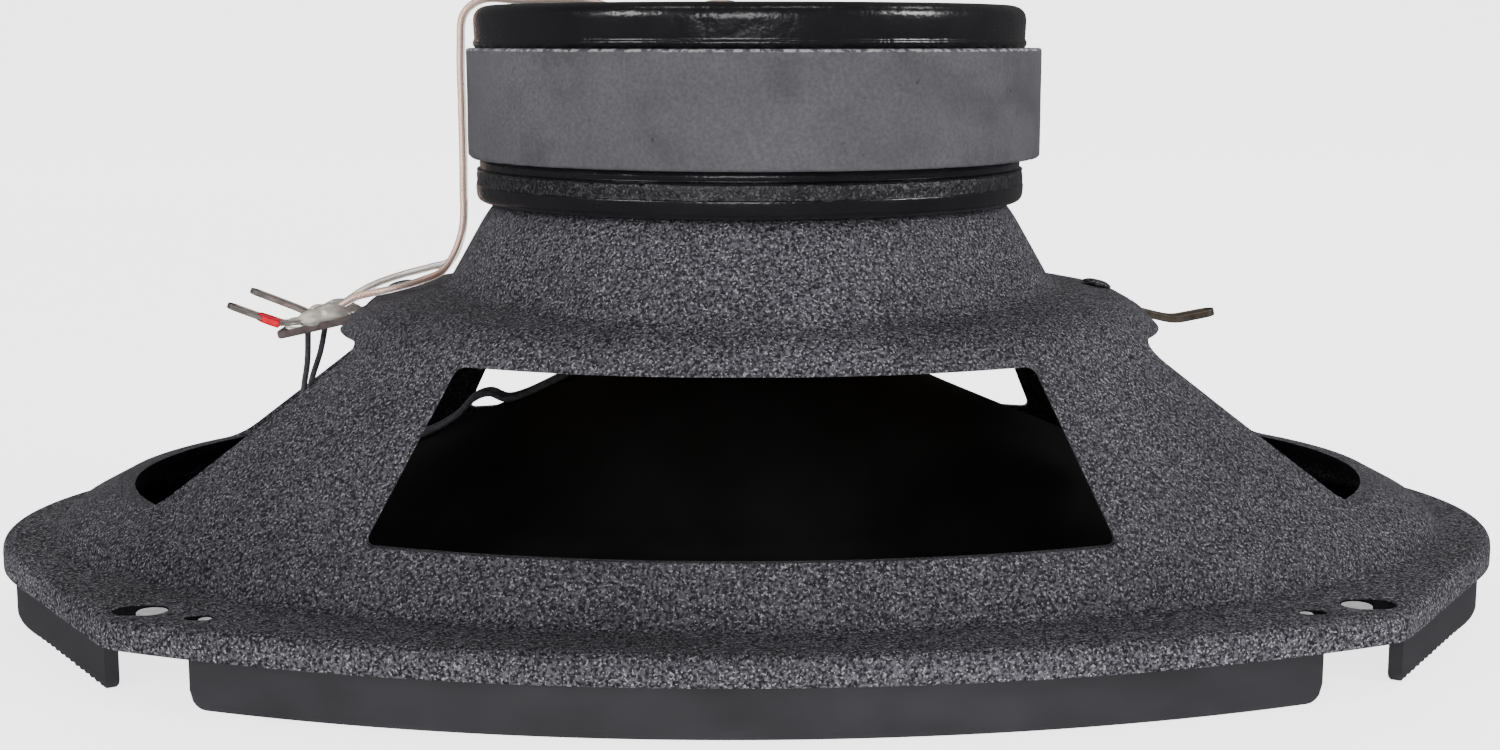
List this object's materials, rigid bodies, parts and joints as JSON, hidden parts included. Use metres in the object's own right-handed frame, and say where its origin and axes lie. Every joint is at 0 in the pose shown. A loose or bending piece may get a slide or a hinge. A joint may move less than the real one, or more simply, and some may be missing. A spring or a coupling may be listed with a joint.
{
  "type": "coaxial car speaker",
  "caption": "Oval coaxial car speaker with a stamped steel basket, ferrite magnet, paper cone and a centre tweeter on a stem.",
  "frame": {"origin": "under the voice coil's axis, on the plane of the front edge", "axes": "+X along the oval's long way, away from the terminals, +Z from the front towards the magnet"},
  "size_m": [0.238, 0.163, 0.0951],
  "materials": {
    "textured_paint": "fine sandy texture, semi-matte",
    "black_plastic": "smooth satin",
    "gloss_coat": "glossy with orange peel",
    "ferrite": "ground, matte",
    "surround_rubber": "matte",
    "spider_cloth": "resin-dipped cloth",
    "cone_paper": "black, slight sheen",
    "former": "heat-proof film",
    "copper": "enamelled wire",
    "tin": "dull tin",
    "zinc": "zinc plated",
    "silk": "coated silk",
    "capacitor_sleeve": "shrink sleeve",
    "fibre_board": "pressed fibre",
    "red_paint": "paint dab",
    "bare_steel": "oiled bare steel",
    "copper_wire": "clear insulation over copper",
    "tinned_wire": "clear insulation over tinned copper",
    "tinsel": "braided"
  },
  "bodies": {
    "frame": {"basket": "textured_paint", "trim_ring": "black_plastic", "front_plate": "gloss_coat", "ferrite_magnet": "ferrite", "yoke": "gloss_coat", "surround": "surround_rubber", "spider": "spider_cloth", "tweeter_stem": "zinc", "stem_washer": "zinc", "stem_nut": "zinc", "tweeter_housing": "black_plastic", "tweeter_face": "black_plastic", "tweeter_cup": "zinc", "tweeter_magnet": "zinc", "tweeter_pole_piece": "zinc", "tweeter_surround": "silk", "crossover_capacitor": "capacitor_sleeve", "terminal_board": "fibre_board", "terminal_rivet": "zinc", "positive_lug": "tin", "negative_lug": "tin", "polarity_mark": "red_paint", "solder_joint_positive": "tin", "solder_joint_negative": "tin", "anchor_tab": "bare_steel", "anchor_rivet": "zinc", "tweeter_wire_positive": "copper_wire", "tweeter_wire_negative": "tinned_wire", "tinsel_lead_positive": "tinsel", "tinsel_lead_negative": "tinsel"},
    "cone_assembly": {"cone": "cone_paper", "voice_coil_former": "former", "voice_coil": "copper", "dust_ring": "surround_rubber", "lead_eyelet_positive": "tin", "lead_eyelet_negative": "tin"},
    "tweeter_diaphragm": {"tweeter_dome": "silk", "tweeter_coil": "copper"}
  },
  "joints": [
    {"name": "cone_slide", "type": "slide", "parent": "frame", "child": "cone_assembly", "axis": [0, 0, 1], "range_m": [-0.004, 0.004], "stiffness_N_per_m": 3000, "deforming": ["surround", "spider", "tinsel_lead_positive", "tinsel_lead_negative"]},
    {"name": "tweeter_dome_slide", "type": "slide", "parent": "frame", "child": "tweeter_diaphragm", "axis": [0, 0, 1], "range_m": [-0.0003, 0.0003], "stiffness_N_per_m": 2000, "deforming": ["tweeter_surround"]}
  ]
}
